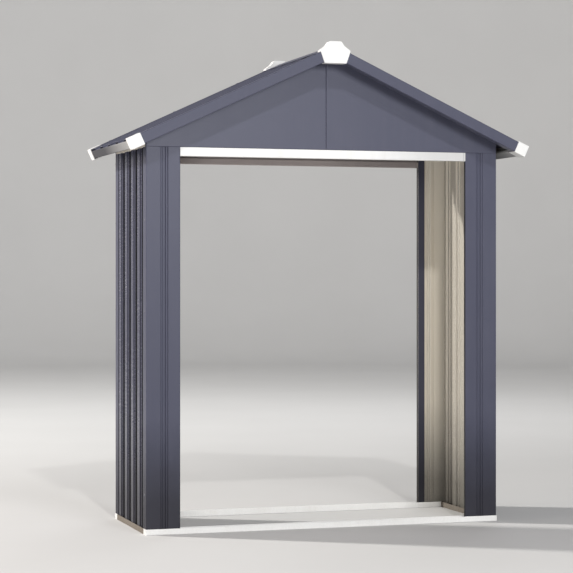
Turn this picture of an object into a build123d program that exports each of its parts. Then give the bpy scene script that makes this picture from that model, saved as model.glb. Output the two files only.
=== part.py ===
from build123d import *
import math
import os

os.makedirs("parts", exist_ok=True)

# Driving dimensions in millimetres
body_width = 1450.0
body_depth = 538.0
wall_height = 1480.0
sheet = 1.2
bend = 2.0
fit_gap = 0.1

# Floor frame
rail_sheet = 1.5
rail_height = 22.0
rail_width = 38.0
anchor_hole = 9.0
anchor_spacing = 1000.0

# Corner posts
post_width = 136.0
groove_depth = 10.0
groove_centre = 73.5
groove_steps = (3.7, 6.9, 11.8, 15.0)
groove_bend = 0.8
side_leg = 53.0
tray_depth = 17.0
hem_width = 30.0

# Side walls
wall_pitch = body_depth / 5
wall_rib = 0.37 * wall_pitch
wall_ledge = 0.14 * wall_pitch
wall_step = 3.0
wall_ledge_depth = 4.0
wall_rib_depth = 11.5
wall_phase = 0.25
wall_rear_lap = 11.0
plate_lip = 27.0

# Bay lintels
lintel_height = 34.0
lintel_return = 24.0

# Roof
roof_pitch = 24.8
wall_plate_rise = 54.7
eave_overhang = 88.8
verge_overhang = 109.0
roof_rib_height = 7.0
roof_rib = 40.0
roof_rib_slope = 5.0
roof_edge_flat = 28.0
rib_count = 2
sheet_start = 18.0

# Edge trims
trim_height = 42.0
trim_lip = 8.0
verge_leg = 30.0
verge_return = 40.0
eave_leg = 35.0
eave_return = 46.0
eave_trim_low = 40.0

# Ridge
beam_width = 76.0
beam_height = 55.0
beam_lip = 12.0
cover_reach = 70.0

# Plastic caps
cap_wall = 2.5
eave_cap_length = 48.0
eave_cap_depth = 56.0
ridge_cap_depth = 38.0
ridge_cap_rise = 15.0
ridge_cap_crest = 47.0
ridge_cap_knee = 71.0
ridge_cap_knee_drop = 2.0
ridge_cap_width = 120.6
ridge_cap_edge = 5.5
ridge_cap_foot = 89.0
ridge_cap_lip = 1.2
crown_radius = 5.0
knee_radius = 25.0

# Derived planes
half_width = body_width / 2
half_depth = body_depth / 2
side_x = half_width - rail_sheet
face_y = half_depth - rail_sheet
tray_y = face_y - tray_depth
bay_x = half_width - post_width
angle = math.radians(roof_pitch)
verge_y = half_depth + verge_overhang
slope_length = (half_width + eave_overhang) / math.cos(angle)
sheet_top = -sheet
sheet_low = sheet_top - roof_rib_height
roof_apex = wall_height + wall_plate_rise + side_x * math.tan(angle) - sheet_low / math.cos(angle)
roof_rib_pitch = (verge_y - roof_edge_flat) / (rib_count + 0.5)
roof_valley_edge = verge_y - roof_edge_flat


# Vector helpers for folded sections
def unit(a, b):
    length = math.hypot(b[0] - a[0], b[1] - a[1])
    return ((b[0] - a[0]) / length, (b[1] - a[1]) / length)


def shifted(points, distance):
    moved = []
    last = len(points) - 1
    for i, p in enumerate(points):
        before = unit(points[i - 1], p) if i > 0 else unit(p, points[i + 1])
        after = unit(p, points[i + 1]) if i < last else before
        n1 = (-before[1], before[0])
        n2 = (-after[1], after[0])
        scale = distance / (1 + n1[0] * n2[0] + n1[1] * n2[1])
        moved.append((p[0] + (n1[0] + n2[0]) * scale, p[1] + (n1[1] + n2[1]) * scale))
    return moved


def turns(points):
    found = []
    for a, b, c in zip(points, points[1:], points[2:]):
        u = unit(a, b)
        v = unit(b, c)
        found.append(math.atan2(u[0] * v[1] - u[1] * v[0], u[0] * v[0] + u[1] * v[1]))
    return found


def rounded_path(points, radii):
    edges = []
    start = points[0]
    for p, nxt, radius, turn in zip(points[1:], points[2:], radii, turns(points)):
        if radius == 0:
            edges.append(Line(start, p))
            start = p
            continue
        u = unit(start, p)
        v = unit(p, nxt)
        run = radius * math.tan(abs(turn) / 2)
        side = 1 if turn > 0 else -1
        arc_start = (p[0] - u[0] * run, p[1] - u[1] * run)
        arc_end = (p[0] + v[0] * run, p[1] + v[1] * run)
        centre = (arc_start[0] - u[1] * radius * side, arc_start[1] + u[0] * radius * side)
        out = unit(centre, p)
        middle = (centre[0] + out[0] * radius, centre[1] + out[1] * radius)
        edges.append(Line(start, arc_start))
        edges.append(ThreePointArc(arc_start, middle, arc_end))
        start = arc_end
    edges.append(Line(start, points[-1]))
    return edges


# Section of a folded sheet whose metal lies to the left of the path
def folded(points, thickness=sheet, radii=None, crisp=False):
    inner = radii or [0 if crisp else bend] * (len(points) - 2)
    near = [r + thickness if t > 0 else r for r, t in zip(inner, turns(points))]
    far = [r if t > 0 else r + thickness for r, t in zip(inner, turns(points))]
    other = shifted(points, thickness)
    edges = rounded_path(points, near) + rounded_path(other, far)
    edges.append(Line(points[0], other[0]))
    edges.append(Line(points[-1], other[-1]))
    return make_face(edges)


def along_x(section, start, end):
    return Pos(start, 0, 0) * extrude(Plane.YZ * section, end - start)


def along_y(section, start, end):
    return Pos(0, end, 0) * extrude(Plane.XZ * section, end - start)


def along_z(section, start, end):
    return Pos(0, 0, start) * extrude(section, end - start)


def block(x0, x1, y0, y1, z0, z1):
    size = Box(x1 - x0, y1 - y0, z1 - z0)
    return Pos((x0 + x1) / 2, (y0 + y1) / 2, (z0 + z1) / 2) * size


def flip_x(shape):
    return mirror(shape, about=Plane.YZ)


def flip_y(shape):
    return mirror(shape, about=Plane.XZ)


# Roof frame: distance down the slope, and height above the verge top line
def roof_point(along, above):
    x = along * math.cos(angle) + above * math.sin(angle)
    z = roof_apex - along * math.sin(angle) + above * math.cos(angle)
    return (x, z)


def on_roof(shape):
    return Pos(0, 0, roof_apex) * Rot(0, roof_pitch, 0) * shape


def slope_height(x, above):
    return roof_apex - x * math.tan(angle) + above / math.cos(angle)


# Floor rails
rail_y = half_depth - rail_width
rail_x = half_width - rail_width
front_block = block(-half_width, half_width, -half_depth, -rail_y, 0, rail_height)
front_block = fillet(front_block.edges().filter_by(Axis.X).group_by(Axis.Z)[0][0], rail_sheet)
pocket_y = -half_depth + rail_sheet
front_rail = front_block - block(-side_x, side_x, pocket_y, -rail_y - rail_sheet, rail_sheet, 2 * rail_height)
for side in (-1, 1):
    gate = block(rail_x + rail_sheet, side_x, -rail_y - 2 * rail_sheet, -rail_y + 1, rail_sheet, 2 * rail_height)
    front_rail -= gate if side > 0 else flip_x(gate)
    hole_at = Pos(side * anchor_spacing / 2, -half_depth + rail_width / 2, 0)
    front_rail -= hole_at * Cylinder(anchor_hole / 2, 4 * rail_sheet)
side_points = [
    (-half_width, rail_height),
    (-half_width, 0),
    (-rail_x, 0),
    (-rail_x, rail_height),
]
side_rail = along_y(folded(side_points, rail_sheet, crisp=True), -rail_y, rail_y)

# Corner post, front left
post_points = [
    (-bay_x - hem_width, -tray_y),
    (-bay_x, -tray_y),
    (-bay_x, -face_y),
]
groove_x = -half_width + groove_centre
steps = [(groove_steps[3], 0.0), (groove_steps[2], 0.5), (groove_steps[1], 0.5), (groove_steps[0], 1.0)]
for reach, part_depth in steps:
    post_points.append((groove_x + reach, -face_y + part_depth * groove_depth))
for reach, part_depth in reversed(steps):
    post_points.append((groove_x - reach, -face_y + part_depth * groove_depth))
post_points.append((-side_x, -face_y))
post_points.append((-side_x, -face_y + side_leg))
post_radii = [bend] + [groove_bend] * (2 * len(steps)) + [bend] * 2
post_section = folded(post_points[::-1], radii=post_radii)
post = along_z(post_section, rail_sheet, wall_height)

# Side wall sheet, left: each groove falls in two steps with a ledge between
panel_out = -side_x + 2 * sheet
panel_mid = panel_out + wall_ledge_depth
panel_in = panel_out + wall_rib_depth
panel_end = face_y - sheet - bend - fit_gap
groove_side = [
    (panel_out, 0),
    (panel_mid, wall_step),
    (panel_mid, wall_step + wall_ledge),
    (panel_in, 2 * wall_step + wall_ledge),
]
rib_centres = [(i - wall_phase) * wall_pitch for i in range(-2, 3)]
panel_points = [(panel_out, -panel_end)]
for centre, following in zip(rib_centres, rib_centres[1:]):
    panel_points += [(x, centre + wall_rib / 2 + y) for x, y in groove_side]
    panel_points += [(x, following - wall_rib / 2 - y) for x, y in reversed(groove_side)]
panel_points += [(x, rib_centres[-1] + wall_rib / 2 + y) for x, y in groove_side]
panel_points.append((panel_in, panel_end - wall_rear_lap - wall_step))
panel_points.append((panel_out, panel_end - wall_rear_lap))
panel_points.append((panel_out, panel_end))
side_panel = along_z(folded(panel_points, crisp=True), rail_sheet, wall_height)

# Wall plate, left
plate_points = [
    (-side_x + plate_lip, wall_height),
    (-side_x, wall_height),
    (-side_x, slope_height(side_x, sheet_low)),
    (-side_x + plate_lip, slope_height(side_x - plate_lip, sheet_low)),
]
top_rail = along_y(folded(plate_points[::-1], crisp=True), -tray_y, tray_y)

# Bay lintel, front
lintel_low = wall_height - lintel_height
lintel_points = [
    (-face_y, wall_height),
    (-face_y, lintel_low),
    (-tray_y, lintel_low),
    (-tray_y, lintel_low + lintel_return),
]
lintel = along_x(folded(lintel_points), -bay_x, bay_x)

# Gable tray, front right
def gable_outline(inset):
    eave = slope_height(side_x - inset, sheet_low - inset)
    ridge = slope_height(inset, sheet_low - inset)
    low = wall_height + inset
    return Polyline((inset, low), (side_x - inset, low), (side_x - inset, eave), (inset, ridge), close=True)


gable_solid = along_y(make_face(gable_outline(0)), -face_y, -tray_y)
gable_solid = fillet(gable_solid.faces().sort_by(Axis.Y)[0].edges(), bend + sheet)
gable_core = along_y(make_face(gable_outline(sheet)), -face_y + sheet, -tray_y + 1)
gable_core = fillet(gable_core.faces().sort_by(Axis.Y)[0].edges(), bend)
gable = gable_solid - gable_core

# Ridge beam
beam_x = beam_width / 2
beam_foot = slope_height(beam_x, sheet_low) - beam_height
beam_points = [
    (-beam_x + beam_lip, beam_foot),
    (-beam_x, beam_foot),
    (-beam_x, slope_height(beam_x, sheet_low)),
    (0, slope_height(0, sheet_low)),
    (beam_x, slope_height(beam_x, sheet_low)),
    (beam_x, beam_foot),
    (beam_x - beam_lip, beam_foot),
]
ridge_beam = along_y(folded(beam_points[::-1], crisp=True), -tray_y, tray_y)

# Roof sheets, right slope: the front sheet laps under the rear one at mid depth
rib_top = sheet_top - sheet
rib_rise = roof_rib_height - sheet
rib_foot = roof_rib / 2 + roof_rib_slope
edge_room = sheet + bend + 2 * fit_gap


def half_sheet():
    points = []
    points.append((-verge_y + edge_room, rib_top))
    points.append((-roof_valley_edge - roof_rib_slope, rib_top))
    points.append((-roof_valley_edge, sheet_low))
    for i in range(rib_count, 0, -1):
        centre = -i * roof_rib_pitch
        points.append((centre - rib_foot, sheet_low))
        points.append((centre - roof_rib / 2, rib_top))
        points.append((centre + roof_rib / 2, rib_top))
        points.append((centre + rib_foot, sheet_low))
    return points


rake = math.atan2(rib_rise, roof_rib_slope)
lap_drop = sheet + fit_gap
lap_half = roof_rib / 2 - lap_drop * math.tan(rake / 2)
lap_foot = lap_half + (rib_rise - lap_drop) / math.tan(rake)
lap_leg = lap_foot - 2 * fit_gap
under_points = half_sheet()
under_points.append((-lap_foot, sheet_low))
under_points.append((-lap_half, rib_top - lap_drop))
under_points.append((lap_half, rib_top - lap_drop))
under_points.append((lap_leg, sheet_low + 2 * fit_gap * math.tan(rake)))
over_points = half_sheet()
over_points.append((-rib_foot, sheet_low))
over_points.append((-roof_rib / 2, rib_top))
over_points.append((roof_rib / 2, rib_top))
leg_fall = rib_rise - 2.2 * sheet
over_points.append((roof_rib / 2 + leg_fall / math.tan(rake), rib_top - leg_fall))
sheet_end = slope_length - edge_room
front_sheet = on_roof(along_x(folded(under_points, crisp=True), sheet_start, sheet_end))
rear_sheet = flip_y(on_roof(along_x(folded(over_points, crisp=True), sheet_start, sheet_end)))

# Verge trim, front right, mitred on the centre plane
verge_points = [
    (-verge_y + verge_leg, 0),
    (-verge_y, 0),
    (-verge_y, -trim_height),
    (-verge_y + verge_return, -trim_height),
    (-verge_y + verge_return, -trim_height + trim_lip),
]
verge = on_roof(along_x(folded(verge_points), 0, slope_length))
verge -= block(-half_width, 0, -2 * verge_y, 2 * verge_y, 0, 2 * roof_apex)

# Eave trim, right, under the ends of the roof sheets
eave_points = [
    (slope_length - eave_return, -eave_trim_low + trim_lip),
    (slope_length - eave_return, -eave_trim_low),
    (slope_length, -eave_trim_low),
    (slope_length, sheet_low),
    (slope_length - eave_leg, sheet_low),
]
eave_y = verge_y - verge_return
eave_trim = on_roof(along_y(folded(eave_points), -eave_y, eave_y))

# Ridge cover
cover_end = roof_point(cover_reach, 0)
cover_points = [(-cover_end[0], cover_end[1]), (0, roof_apex), cover_end]
ridge_cover = along_y(folded(cover_points, radii=[0]), -verge_y, verge_y)


# Ridge end cap, front: a hollow moulding that sits on the ridge
cap_y = -verge_y - cap_wall
tip_x = ridge_cap_width / 2
tip_z = slope_height(tip_x, 2 * sheet)
foot_x = ridge_cap_foot / 2
foot_z = slope_height(foot_x, -trim_height) - 2 * ridge_cap_lip
crown_right = [
    (ridge_cap_crest / 2, roof_apex + ridge_cap_rise),
    (ridge_cap_knee / 2, roof_apex - ridge_cap_knee_drop),
    (tip_x, tip_z + ridge_cap_edge),
    (tip_x, tip_z),
]
crown_left = [(-x, z) for x, z in reversed(crown_right)]
crown_path = crown_left + crown_right


def crown_face(inset, low):
    points = shifted(crown_path, -inset)
    top_radii = [0, knee_radius + inset, crown_radius - inset]
    edges = rounded_path(points, top_radii + top_radii[::-1])
    edges.append(Line(points[-1], (low[0], low[1])))
    edges.append(Line((low[0], low[1]), (-low[0], low[1])))
    edges.append(Line((-low[0], low[1]), points[0]))
    return make_face(edges)


ridge_top = [(x, slope_height(abs(x), sheet)) for x in (-2 * tip_x, 0, 2 * tip_x)]
ridge_top += [(2 * tip_x, 2 * roof_apex), (-2 * tip_x, 2 * roof_apex)]
over_ridge = along_y(make_face(Polyline(*ridge_top, close=True)), -2 * verge_y, 0)
crown = along_y(crown_face(0, (foot_x, foot_z)), cap_y, cap_y + ridge_cap_depth)
hollow_end = cap_y + ridge_cap_depth - cap_wall
crown -= along_y(crown_face(cap_wall, (foot_x, foot_z)), -verge_y, hollow_end)
ridge_cap = along_y(crown_face(0, (foot_x, foot_z)), cap_y, -verge_y)
ridge_cap += crown & over_ridge
ridge_cap += block(-foot_x, foot_x, cap_y, cap_y + ridge_cap_depth, foot_z, foot_z + ridge_cap_lip)

# Eave corner cap, front right
cap_s0 = slope_length + cap_wall - eave_cap_length
cap_s1 = slope_length + cap_wall
cap_n0 = -trim_height - cap_wall
cap_block = block(cap_s0, cap_s1, cap_y, cap_y + eave_cap_depth, cap_n0, cap_wall)
outer_edges = cap_block.edges().filter_by(
    lambda e: e.center().X > cap_s0 + 1 and e.center().Y < cap_y + eave_cap_depth - 1
)
cap_block = fillet(outer_edges, bend)
eave_cap = cap_block - block(cap_s0 - 1, slope_length, -verge_y, 0, -trim_height, 0)
eave_cap = on_roof(eave_cap)

# One step file per piece
pieces = {
    "floor_rail_front": front_rail,
    "floor_rail_rear": flip_y(front_rail),
    "floor_rail_left": side_rail,
    "floor_rail_right": flip_x(side_rail),
    "corner_post_front_left": post,
    "corner_post_front_right": flip_x(post),
    "corner_post_rear_left": flip_y(post),
    "corner_post_rear_right": flip_x(flip_y(post)),
    "side_panel_left": side_panel,
    "side_panel_right": flip_x(side_panel),
    "side_top_rail_left": top_rail,
    "side_top_rail_right": flip_x(top_rail),
    "lintel_front": lintel,
    "header_rear": flip_y(lintel),
    "gable_front_left": flip_x(gable),
    "gable_front_right": gable,
    "gable_rear_left": flip_x(flip_y(gable)),
    "gable_rear_right": flip_y(gable),
    "ridge_beam": ridge_beam,
    "roof_panel_front_left": flip_x(front_sheet),
    "roof_panel_rear_left": flip_x(rear_sheet),
    "roof_panel_front_right": front_sheet,
    "roof_panel_rear_right": rear_sheet,
    "ridge_cover": ridge_cover,
    "verge_trim_front_left": flip_x(verge),
    "verge_trim_front_right": verge,
    "verge_trim_rear_left": flip_x(flip_y(verge)),
    "verge_trim_rear_right": flip_y(verge),
    "eave_trim_left": flip_x(eave_trim),
    "eave_trim_right": eave_trim,
    "eave_cap_front_left": flip_x(eave_cap),
    "eave_cap_front_right": eave_cap,
    "eave_cap_rear_left": flip_x(flip_y(eave_cap)),
    "eave_cap_rear_right": flip_y(eave_cap),
    "ridge_cap_front": ridge_cap,
    "ridge_cap_rear": flip_y(ridge_cap),
}
for name, piece in pieces.items():
    export_step(piece, f"parts/{name}.step")
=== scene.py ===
import math

import bmesh
import bpy
from mathutils import Matrix, Vector


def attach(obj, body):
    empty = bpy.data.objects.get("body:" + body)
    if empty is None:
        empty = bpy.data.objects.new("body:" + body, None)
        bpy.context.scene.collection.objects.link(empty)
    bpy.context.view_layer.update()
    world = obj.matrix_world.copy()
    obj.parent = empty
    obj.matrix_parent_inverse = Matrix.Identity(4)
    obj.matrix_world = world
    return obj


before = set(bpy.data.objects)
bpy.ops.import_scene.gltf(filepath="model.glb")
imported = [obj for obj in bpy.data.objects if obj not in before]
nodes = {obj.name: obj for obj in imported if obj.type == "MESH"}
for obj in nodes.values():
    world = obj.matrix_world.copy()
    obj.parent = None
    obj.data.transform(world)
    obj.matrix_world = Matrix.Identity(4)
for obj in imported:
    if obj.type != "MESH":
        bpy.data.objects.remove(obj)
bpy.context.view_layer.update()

# Lengths and places are in metres in the shared frame, unless a name says otherwise

# Camera fitted to the photograph
PHOTO_PIXELS = 573
FOCAL_PIXELS = 1919.9
HORIZON_ROW = 272.94
SENSOR_MM = 36.0
YAW_DEG = 17.604
LEVEL_DEG = 90.0
EYE = (-2.4226, -7.3878, 0.9987)


def add_camera():
    data = bpy.data.cameras.new("photo_camera")
    data.sensor_width = SENSOR_MM
    data.lens = FOCAL_PIXELS * SENSOR_MM / PHOTO_PIXELS
    data.shift_y = (HORIZON_ROW - PHOTO_PIXELS / 2) / PHOTO_PIXELS
    camera = bpy.data.objects.new("photo_camera", data)
    camera.location = EYE
    camera.rotation_euler = (math.radians(LEVEL_DEG), 0, -math.radians(YAW_DEG))
    bpy.context.scene.collection.objects.link(camera)
    bpy.context.scene.camera = camera


# Sockets of the Mix node: factor, the two colours and the result
MIX_FACTOR, MIX_A, MIX_B, MIX_RESULT = 0, 6, 7, 2
UNSTRETCHED = (1, 1, 1)


# A material's node tree, built one node at a time
class Graph:
    def __init__(self, name):
        self.material = bpy.data.materials.new(name)
        self.material.use_nodes = True
        self.tree = self.material.node_tree
        self.bsdf = next(n for n in self.tree.nodes if n.type == "BSDF_PRINCIPLED")
        coords = self.new("ShaderNodeTexCoord")
        self.place = coords.outputs["Object"]
        self.normal = coords.outputs["Normal"]

    def new(self, kind, **values):
        node = self.tree.nodes.new(kind)
        for key, value in values.items():
            setattr(node, key, value)
        return node

    def link(self, source, target):
        self.tree.links.new(source, target)

    def feed(self, node, index, value):
        if isinstance(value, bpy.types.NodeSocket):
            self.link(value, node.inputs[index])
        else:
            node.inputs[index].default_value = value

    def math(self, operation, a, b=None, c=None, clamp=False):
        node = self.new("ShaderNodeMath", operation=operation, use_clamp=clamp)
        for index, value in enumerate((a, b, c)):
            if value is not None:
                self.feed(node, index, value)
        return node.outputs[0]

    def above(self, value, limit):
        return self.math("GREATER_THAN", value, limit)

    def below(self, value, limit):
        return self.math("LESS_THAN", value, limit)

    def both(self, a, b):
        return self.math("MULTIPLY", a, b)

    def either(self, a, b):
        return self.math("MAXIMUM", a, b)

    def noise(self, scale, detail, rough, stretch=UNSTRETCHED):
        mapping = self.new("ShaderNodeMapping")
        self.link(self.place, mapping.inputs["Vector"])
        mapping.inputs["Scale"].default_value = stretch
        node = self.new("ShaderNodeTexNoise")
        self.link(mapping.outputs["Vector"], node.inputs["Vector"])
        node.inputs["Scale"].default_value = scale
        node.inputs["Detail"].default_value = detail
        node.inputs["Roughness"].default_value = rough
        return node.outputs["Fac"]

    def remap(self, value, low, high, to_low=0.0, to_high=1.0):
        node = self.new("ShaderNodeMapRange")
        node.clamp = True
        for index, item in enumerate((value, low, high, to_low, to_high)):
            self.feed(node, index, item)
        return node.outputs[0]

    def mix(self, factor, a, b, blend="MIX"):
        node = self.new("ShaderNodeMix", data_type="RGBA", blend_type=blend)
        self.feed(node, MIX_FACTOR, factor)
        self.feed(node, MIX_A, a)
        self.feed(node, MIX_B, b)
        return node.outputs[MIX_RESULT]

    def grey(self, level):
        node = self.new("ShaderNodeCombineColor")
        for channel in range(3):
            self.link(level, node.inputs[channel])
        return node.outputs[0]

    def axes(self, vector):
        node = self.new("ShaderNodeSeparateXYZ")
        self.link(vector, node.inputs[0])
        return node.outputs[:3]

    # Distances from the two middle planes, the normal counted outwards from them, and its z.
    # The part's halves mirror each other, so a rule written this way serves all four corners
    def folded(self):
        x, y, _ = self.axes(self.place)
        nx, ny, nz = self.axes(self.normal)
        out_x = self.both(nx, self.math("SIGN", x))
        out_y = self.both(ny, self.math("SIGN", y))
        return self.math("ABSOLUTE", x), self.math("ABSOLUTE", y), out_x, out_y, nz

    def colour(self, colour):
        self.link(colour, self.bsdf.inputs["Base Color"])

    def roughness(self, value):
        self.link(value, self.bsdf.inputs["Roughness"])

    def bump(self, height, strength, distance):
        node = self.new("ShaderNodeBump")
        node.inputs["Strength"].default_value = strength
        node.inputs["Distance"].default_value = distance
        self.link(height, node.inputs["Height"])
        self.link(node.outputs["Normal"], self.bsdf.inputs["Normal"])


def rgba(r, g, b):
    return (r, g, b, 1.0)


# Colours of the coats, new and worn
ANTHRACITE = rgba(0.078, 0.081, 0.118)
ANTHRACITE_WORN = rgba(0.108, 0.110, 0.148)
CREAM = rgba(0.78, 0.73, 0.64)
CREAM_WORN = rgba(0.64, 0.58, 0.49)
WHITE = rgba(0.84, 0.84, 0.83)
WHITE_WORN = rgba(0.62, 0.60, 0.55)
PLASTIC = rgba(0.80, 0.80, 0.79)
PLASTIC_WORN = rgba(0.70, 0.69, 0.64)
# The rear header is white steel; its darker colour here is painted shade
HEADER_PAINTED_SHADE = rgba(0.45, 0.40, 0.395)
HEADER_PAINTED_SHADE_WORN = rgba(0.36, 0.325, 0.32)
# Side floor rails: white steel darkened partly as dirt and partly as painted shade
SIDE_RAIL_DIRT_AND_SHADE = rgba(0.42, 0.39, 0.35)
EARTH = rgba(0.16, 0.125, 0.09)
DAMP_EARTH = rgba(0.040, 0.035, 0.032)
# Colour factor that full painted shade multiplies the coat by
FULL_SHADE = rgba(0.10, 0.10, 0.11)

# Noise textures as scale, detail and roughness. The streaks are long in z, where rain runs down
MOTTLE = (5.0, 6.0, 0.6)
STREAK = (9.0, 5.0, 0.6)
STREAK_STRETCH = (3.0, 3.0, 0.18)
FINE = (160.0, 3.0, 0.6)
ORANGE_PEEL = (420.0, 2.0, 0.5)
WAVE = (14.0, 2.0, 0.5)

# Parts of the noise that count, and how far the wear reaches on each side of the sheet
WEAR_RANGE = (0.35, 0.75)
FINE_RANGE = (0.3, 0.7)
OUTSIDE_WEAR = 0.55
INSIDE_WEAR = 0.28

# Bands above the ground: share of the mottle in their ragged edge, and where they begin and end
# The first two bands darken the coat towards the ground, the third lays splash dirt
WIDE_DIMMING_BAND = (0.3, 0.1, 1.5)
LOW_DIMMING_BAND = (0.1, 0.16, 0.50)
SPLASH_BAND = (0.22, 0.12, 0.42)
SPECKLE_LEAST = 0.4

# Roughness that wear and soil add, and its fine variation
WEAR_ROUGH = 0.12
SOIL_ROUGH = 0.5
FINE_ROUGH = 0.03
COAT_BUMP = 0.12
COAT_RELIEF = 0.002


def ragged_band(graph, mottle, band, at_ground, above_band):
    spread, start, end = band
    height = graph.axes(graph.place)[2]
    ragged = graph.math("ADD", height, graph.math("MULTIPLY", mottle, spread))
    return graph.remap(ragged, start, end, at_ground, above_band)


# Factory-coated sheet: mottling, faint rain streaks, splash dirt near the ground, orange-peel
# bump, and a darkening towards the ground whose two settings are the brightness left at the
# ground.
# shade is painted shade (1 is full), and outside is 1 where the outer coat is and 0 where the
# sheet shows its cream backing
def coat(graph, base, worn, gloss=0.15, dirt=0.35, rough=0.42, grime=0.84, damp=0.5,
         earth=DAMP_EARTH, peel=0.25, shade=None, outside=None):
    mottle = graph.noise(*MOTTLE)
    streak = graph.noise(*STREAK, STREAK_STRETCH)
    fine = graph.noise(*FINE)
    wear = graph.both(graph.remap(mottle, *WEAR_RANGE), graph.remap(streak, *WEAR_RANGE))

    colour = graph.mix(graph.math("MULTIPLY", wear, OUTSIDE_WEAR), base, worn)
    if outside is not None:
        backing = graph.mix(graph.math("MULTIPLY", wear, INSIDE_WEAR), CREAM, CREAM_WORN)
        colour = graph.mix(outside, backing, colour)
    if shade is not None:
        colour = graph.mix(shade, colour, graph.mix(1.0, colour, FULL_SHADE, "MULTIPLY"))

    # Darkening towards the ground, over a wide band and a low one
    wide_dim = ragged_band(graph, mottle, WIDE_DIMMING_BAND, grime, 1.0)
    low_dim = ragged_band(graph, mottle, LOW_DIMMING_BAND, damp, 1.0)
    colour = graph.mix(1.0, colour, graph.grey(graph.both(wide_dim, low_dim)), "MULTIPLY")

    splash = ragged_band(graph, mottle, SPLASH_BAND, 1.0, 0.0)
    soil = graph.both(splash, graph.remap(fine, *FINE_RANGE, SPECKLE_LEAST, 1.0))
    soil = graph.math("MULTIPLY", soil, dirt)
    graph.colour(graph.mix(soil, colour, earth))

    dull_and_shade = graph.math("MULTIPLY_ADD", wear, WEAR_ROUGH, rough)
    dull_and_shade = graph.math("ADD", dull_and_shade, graph.math("MULTIPLY", soil, SOIL_ROUGH))
    varied = graph.remap(fine, *FINE_RANGE, -FINE_ROUGH, FINE_ROUGH)
    graph.roughness(graph.math("ADD", dull_and_shade, varied, clamp=True))
    graph.bsdf.inputs["Specular IOR Level"].default_value = gloss

    orange = graph.math("MULTIPLY", graph.noise(*ORANGE_PEEL), peel)
    graph.bump(graph.math("ADD", orange, graph.noise(*WAVE)), COAT_BUMP, COAT_RELIEF)


def plain(name, base, worn, **settings):
    graph = Graph(name)
    coat(graph, base, worn, **settings)
    return graph.material


# Anthracite outside and cream inside. A rule gives the outside mask and the painted shade
def two_sided(name, rule, **settings):
    graph = Graph(name)
    outside, shade = rule(graph)
    coat(graph, ANTHRACITE, ANTHRACITE_WORN, shade=shade, outside=outside, **settings)
    return graph.material


# Where the surfaces of posts and gables lie, as distances from the middle planes
LEG_X = 0.7229
FACE_Y = 0.25
HEM_Y = 0.2512
JAMB_X = 0.5896

# Least share of the normal for a surface to count as facing a way
FACES_SIDE = 0.3
FACES_FRONT = 0.2
FACES_INWARD = -0.3
FACES_END = 0.5
FACES_DOWN = -0.8
FLANK = 0.5

JAMB_SHADE = 1.0
HEM_SHADE = 0.3


# The posts' hem and jamb return show the outer coat too, and are darkened with painted shade
def post_rule(graph):
    x, y, out_x, out_y, _ = graph.folded()
    leg = graph.both(graph.above(out_x, FACES_SIDE), graph.above(x, LEG_X))
    face = graph.both(graph.above(out_y, FACES_FRONT), graph.above(y, FACE_Y))
    hem = graph.both(graph.below(out_y, FACES_INWARD), graph.below(y, HEM_Y))
    jamb = graph.both(graph.below(out_x, FACES_INWARD), graph.below(x, JAMB_X))
    outside = graph.either(graph.either(leg, face), graph.either(hem, jamb))
    dim_hem = graph.math("MULTIPLY", hem, HEM_SHADE)
    return outside, graph.math("MULTIPLY_ADD", jamb, JAMB_SHADE, dim_hem, clamp=True)


# Wall grooves from their floor to their lip, as distances from the middle plane
GROOVE_FLOOR_X = (0.7135, 0.7165)
GROOVE_LIP_X = (0.7178, 0.7190)
LIP_SHADE = 0.45
INNER_FLAT_SHADE = 0.34


# Painted shade darkens the grooves outside, and inside the flats between them get painted shade
# too
def wall_rule(graph):
    x, _, out_x, out_y, _ = graph.folded()
    outside = graph.above(out_x, 0.0)
    slant = graph.math("ABSOLUTE", out_y)
    floor = graph.remap(x, *GROOVE_FLOOR_X, 1.0, 0.0)
    flank = graph.both(graph.above(slant, FLANK), graph.remap(x, *GROOVE_LIP_X, 1.0, LIP_SHADE))
    grooves = graph.both(outside, graph.either(floor, flank))
    inner_flats = graph.math("MULTIPLY", graph.below(slant, FLANK), INNER_FLAT_SHADE)
    return outside, graph.mix(outside, inner_flats, grooves)


def gable_rule(graph):
    x, y, out_x, out_y, up = graph.folded()
    plate = graph.both(graph.above(out_y, FACES_FRONT), graph.above(y, FACE_Y))
    end = graph.both(graph.above(out_x, FACES_END), graph.above(x, LEG_X))
    underside = graph.below(up, FACES_DOWN)
    return graph.either(graph.either(plate, end), underside), None


# Tab of the lintel: its place, the distances over which its line fades, and its shade. The
# right end of the lintel is darkened with painted shade
TAB_JOINT_X = 0.5806
JOINT_FADE = (0.0007, 0.0014)
JOINT_SHADE = 0.6
PAINTED_SHADE_END_X = (0.15, 0.45)
PAINTED_SHADE_END_LEVEL = 0.3


# Front lintel and rear header, with the tab as a fine joint line near the right end, and
# painted shade over the right end
def lintel_coat(name, base, worn, **settings):
    graph = Graph(name)
    x = graph.axes(graph.place)[0]
    from_joint = graph.math("ABSOLUTE", graph.math("SUBTRACT", x, TAB_JOINT_X))
    joint = graph.remap(from_joint, *JOINT_FADE, JOINT_SHADE, 0.0)
    dull_and_shade = graph.remap(x, *PAINTED_SHADE_END_X, 0.0, PAINTED_SHADE_END_LEVEL)
    coat(graph, base, worn, shade=graph.either(joint, dull_and_shade), **settings)
    return graph.material


EAVE_TRIM_Y = (-0.33, 0.10)
EAVE_TRIM_SHADE = (0.64, 1.0)


# Eave trims: white sheet with painted shade that grows towards the rear, as in the photograph
def eave_trim_coat(name, **settings):
    graph = Graph(name)
    y = graph.axes(graph.place)[1]
    shade = graph.remap(y, *EAVE_TRIM_Y, *EAVE_TRIM_SHADE)
    coat(graph, WHITE, WHITE_WORN, shade=shade, **settings)
    return graph.material


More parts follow.
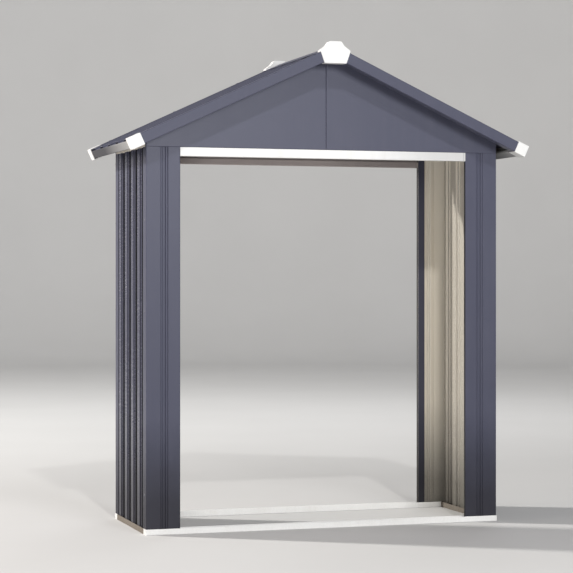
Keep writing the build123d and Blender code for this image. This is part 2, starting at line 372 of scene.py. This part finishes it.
def dress(material, *prefixes):
    for name in nodes:
        if name.startswith(prefixes):
            data = nodes[name].data
            data.materials.clear()
            data.materials.append(material)


# Flat faces of the folded sheet keep flat shading next to their bends
FLATNESS_WEIGHT = 100

for node in nodes.values():
    node.modifiers.new("flat_faces", "WEIGHTED_NORMAL").weight = FLATNESS_WEIGHT

# White steel gets less splash dirt and less darkening towards the ground than the rest
LESS_DIRT_AND_DIMMING = {"dirt": 0.12, "grime": 0.97}

dress(two_sided("post_coat", post_rule, rough=0.37, gloss=0.17, damp=0.42), "corner_post")
dress(two_sided("wall_coat", wall_rule, rough=0.24, peel=0.05), "side_panel")
dress(two_sided("gable_coat", gable_rule, rough=0.38, gloss=0.2), "gable")
dress(plain("roof_coat", ANTHRACITE, ANTHRACITE_WORN, rough=0.55, gloss=0.15), "roof_panel")
dress(plain("anthracite_trim_coat", ANTHRACITE, ANTHRACITE_WORN), "verge_trim", "ridge_cover")
dress(plain("white_rail_coat", WHITE, WHITE_WORN, damp=1.0, earth=EARTH, **LESS_DIRT_AND_DIMMING),
      "floor_rail_front", "floor_rail_rear")
# Side floor rails: darker colour and extra dirt, partly real dirt and partly painted shade
dress(plain("side_rail_coat", SIDE_RAIL_DIRT_AND_SHADE, EARTH, dirt=0.7, grime=0.8, damp=0.7, earth=EARTH),
      "floor_rail_left", "floor_rail_right")
dress(lintel_coat("lintel_coat", WHITE, WHITE_WORN, **LESS_DIRT_AND_DIMMING), "lintel_front")
dress(lintel_coat("header_painted_shade_coat", HEADER_PAINTED_SHADE, HEADER_PAINTED_SHADE_WORN, **LESS_DIRT_AND_DIMMING), "header_rear")
dress(eave_trim_coat("eave_trim_coat", gloss=0.02, rough=0.6), "eave_trim")
dress(plain("cream_frame_coat", CREAM, CREAM_WORN), "ridge_beam", "side_top_rail")
dress(plain("cap_plastic", PLASTIC, PLASTIC_WORN, rough=0.5), "eave_cap", "ridge_cap")

# Roof of the CAD part: top line of the verges, from the apex down the slope
ROOF_APEX = 1.87803
ROOF_PITCH = math.radians(24.8)
SLOPE_LENGTH = 0.8965

# Rows of fixings. Distances run down the slope, heights are over the verges' top line
SIDES = (-1, 1)
COVER_RIVET_ALONG = 0.055
COVER_RIVET_HEIGHT = 0.0012
COVER_RIVET_Y = (-0.30, -0.15, 0.0, 0.15, 0.30)
VERGE_RIVET_ALONG = (0.2, 0.5, 0.8)
VERGE_RIVET_Y = (-0.363, 0.363)
EAVE_SCREW_INSET = 0.02
EAVE_SCREW_Y = (-0.325, -0.21, -0.07, 0.07, 0.21, 0.325)
WALL_SCREW_ALONG = 0.782
WALL_SCREW_Y = (-0.21, -0.07, 0.07, 0.21)
ROOF_SHEET_HEIGHT = -0.0070
LEG_RIVET_X = 0.7235
LEG_RIVET_Y = (-0.241, 0.2585)
LEG_RIVET_Z = (0.15, 0.50, 0.85, 1.20, 1.44)
SPIN_STEP = 0.7

# Profiles as rings of sides, radius and height: a hexagon screw on a bonded washer, and a low
# domed rivet
SCREW = (
    (24, 0.0065, 0.0000),
    (24, 0.0065, 0.0011),
    (24, 0.0056, 0.0015),
    (24, 0.0050, 0.0020),
    (6, 0.0041, 0.0021),
    (6, 0.0041, 0.0047),
    (6, 0.0033, 0.0053),
)
RIVET = (
    (20, 0.0048, 0.0000),
    (20, 0.0047, 0.0005),
    (20, 0.0040, 0.0011),
    (20, 0.0026, 0.0015),
    (20, 0.0009, 0.0017),
)

SCREW_GREY = rgba(0.10, 0.10, 0.13)
SCREW_WORN = rgba(0.17, 0.17, 0.19)
SCREW_FLECK = rgba(0.30, 0.30, 0.31)
FLECK = (900.0, 3.0, 0.6)
PATCH = (60.0, 4.0, 0.6)
PATCH_RANGE = (0.4, 0.7)
FLECK_RANGE = (0.62, 0.75)
SCREW_ROUGH = (0.35, 0.5)
SCREW_BUMP = 0.15
SCREW_RELIEF = 0.0005


def screw_coat():
    graph = Graph("screw_coat")
    fleck = graph.noise(*FLECK)
    patch = graph.noise(*PATCH)
    colour = graph.mix(graph.remap(patch, *PATCH_RANGE), SCREW_GREY, SCREW_WORN)
    graph.colour(graph.mix(graph.remap(fleck, *FLECK_RANGE), colour, SCREW_FLECK))
    graph.roughness(graph.remap(fleck, *FINE_RANGE, *SCREW_ROUGH))
    graph.bump(fleck, SCREW_BUMP, SCREW_RELIEF)
    return graph.material


def on_slope(side, along, y, height):
    sine, cosine = math.sin(ROOF_PITCH), math.cos(ROOF_PITCH)
    x = along * cosine + height * sine
    z = ROOF_APEX - along * sine + height * cosine
    return (side * x, y, z), (side * sine, 0.0, cosine)


def add_ring(mesh, sides, radius, height, spin):
    ring = []
    for i in range(sides):
        turn = 2 * math.pi * i / sides + spin
        ring.append(mesh.verts.new((radius * math.cos(turn), radius * math.sin(turn), height)))
    return ring


# Rings of equal sides are joined by a wall, and a change of sides closes one body and starts
# the next
def add_fixing(mesh, profile, place, up, spin):
    start = len(mesh.verts)
    last = None
    for sides, radius, height in profile:
        ring = add_ring(mesh, sides, radius, height, spin)
        if last is not None and len(last) == sides:
            for i in range(sides):
                j = (i + 1) % sides
                mesh.faces.new((last[i], last[j], ring[j], ring[i]))
        elif last is not None:
            mesh.faces.new(last)
        last = ring
    mesh.faces.new(last)
    mesh.verts.ensure_lookup_table()
    turned = Vector(up).to_track_quat("Z", "Y").to_matrix().to_4x4()
    matrix = Matrix.Translation(place) @ turned
    bmesh.ops.transform(mesh, matrix=matrix, verts=mesh.verts[start:])


def fixing_set(name, profile, places, material):
    mesh = bmesh.new()
    for index, (place, up) in enumerate(places):
        add_fixing(mesh, profile, place, up, SPIN_STEP * index)
    data = bpy.data.meshes.new(name)
    mesh.to_mesh(data)
    mesh.free()
    data.materials.append(material)
    piece = bpy.data.objects.new(name, data)
    bpy.context.scene.collection.objects.link(piece)
    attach(piece, "root")


def add_fixings():
    material = screw_coat()
    cover = [on_slope(side, COVER_RIVET_ALONG, y, COVER_RIVET_HEIGHT)
             for side in SIDES for y in COVER_RIVET_Y]
    verge = [on_slope(side, along, y, 0.0)
             for side in SIDES for along in VERGE_RIVET_ALONG for y in VERGE_RIVET_Y]
    rows = [(SLOPE_LENGTH - EAVE_SCREW_INSET, y) for y in EAVE_SCREW_Y]
    rows += [(WALL_SCREW_ALONG, y) for y in WALL_SCREW_Y]
    roof = [on_slope(side, along, y, ROOF_SHEET_HEIGHT) for side in SIDES for along, y in rows]
    leg = [((side * LEG_RIVET_X, y, z), (side, 0, 0))
           for side in SIDES for y in LEG_RIVET_Y for z in LEG_RIVET_Z]
    fixing_set("rivets_ridge_cover", RIVET, cover, material)
    fixing_set("rivets_verge_trims", RIVET, verge, material)
    fixing_set("screws_roof_panels", SCREW, roof, material)
    fixing_set("rivets_side_walls", RIVET, leg, material)


add_fixings()

# Plain floor that sweeps up into a wall all round
FLOOR_RUN = 16.0
FLOOR_SWEEP = 3.0
WALL_RISE = 9.0
SWEEP_STEPS = 12
FLOOR_SIDES = 72
FLOOR_TONE = (1.2, 3.0, 0.5)
FLOOR_DARK = rgba(0.57, 0.565, 0.56)
FLOOR_LIGHT = rgba(0.61, 0.605, 0.60)
FLOOR_ROUGH = 0.85


def floor_coat():
    graph = Graph("studio_floor")
    graph.colour(graph.mix(graph.noise(*FLOOR_TONE), FLOOR_DARK, FLOOR_LIGHT))
    graph.bsdf.inputs["Roughness"].default_value = FLOOR_ROUGH
    return graph.material


def floor_profile():
    profile = []
    for i in range(SWEEP_STEPS + 1):
        turn = math.pi / 2 * i / SWEEP_STEPS
        run = FLOOR_RUN - FLOOR_SWEEP + FLOOR_SWEEP * math.sin(turn)
        profile.append((run, FLOOR_SWEEP - FLOOR_SWEEP * math.cos(turn)))
    profile.append((FLOOR_RUN, WALL_RISE))
    return profile


def add_floor():
    profile = floor_profile()
    count = len(profile)
    verts = [(0.0, 0.0, 0.0)]
    faces = []
    for side in range(FLOOR_SIDES):
        turn = 2 * math.pi * side / FLOOR_SIDES
        verts += [(r * math.cos(turn), r * math.sin(turn), z) for r, z in profile]
        here = 1 + side * count
        there = 1 + (side + 1) % FLOOR_SIDES * count
        faces.append((0, here, there))
        faces += [(here + i, here + i + 1, there + i + 1, there + i) for i in range(count - 1)]
    mesh = bpy.data.meshes.new("studio_floor")
    mesh.from_pydata(verts, [], faces)
    for polygon in mesh.polygons:
        polygon.use_smooth = True
    mesh.materials.append(floor_coat())
    floor = bpy.data.objects.new("studio_floor", mesh)
    bpy.context.scene.collection.objects.link(floor)


# Light colours
NEUTRAL = (1.0, 1.0, 1.0)
DAYLIGHT = (1.0, 0.99, 0.97)
SKYLIGHT = (0.97, 0.98, 1.0)
LOW_SUN = (1.0, 0.98, 0.93)
WARM_WALL = (1.0, 0.88, 0.84)
WORLD_COLOUR = rgba(0.90, 0.93, 1.0)
WORLD_STRENGTH = 0.15

# Area lights as name, place, target, size, power in watts and colour
MIDDLE = (0.0, 0.0, 1.2)
LIGHTS = (
    ("key_light", (-1.3, -10.3, 9.7), MIDDLE, (0.5, 0.5), 500.0, DAYLIGHT),
    ("front_softbox", (0.8, -7.4, 2.4), MIDDLE, (2.2, 1.6), 248.0, SKYLIGHT),
    ("front_left_fill", (-3.0, -6.6, 0.6), (0.3, 0.0, 0.9), (1.2, 0.8), 85.0, DAYLIGHT),
    ("left_fill", (-5.0, -0.1, 2.6), (-0.7, 0.0, 1.0), (2.0, 2.0), 85.0, WARM_WALL),
    ("rear_left_light", (-8.3, 4.6, 6.9), (0.7, 0.1, 0.6), (0.5, 0.5), 1180.0, LOW_SUN),
    ("rear_softbox", (3.4, 5.6, 4.8), MIDDLE, (3.0, 3.0), 60.0, SKYLIGHT),
    ("backdrop_light", (0.0, 3.0, 7.5), (0.0, 15.0, 5.0), (9.0, 3.0), 560.0, NEUTRAL),
)


def add_area(name, place, target, size, power, colour):
    data = bpy.data.lights.new(name, "AREA")
    data.shape = "RECTANGLE"
    data.size, data.size_y = size
    data.energy = power
    data.color = colour
    light = bpy.data.objects.new(name, data)
    light.location = place
    toward = [t - p for t, p in zip(target, place)]
    light.rotation_euler = Vector(toward).to_track_quat("-Z", "Y").to_euler()
    bpy.context.scene.collection.objects.link(light)


def add_world():
    world = bpy.data.worlds.new("studio_world")
    world.use_nodes = True
    background = world.node_tree.nodes["Background"]
    background.inputs["Color"].default_value = WORLD_COLOUR
    background.inputs["Strength"].default_value = WORLD_STRENGTH
    bpy.context.scene.world = world


add_floor()
add_world()
for light in LIGHTS:
    add_area(*light)

bpy.context.scene.view_settings.view_transform = "Standard"
add_camera()
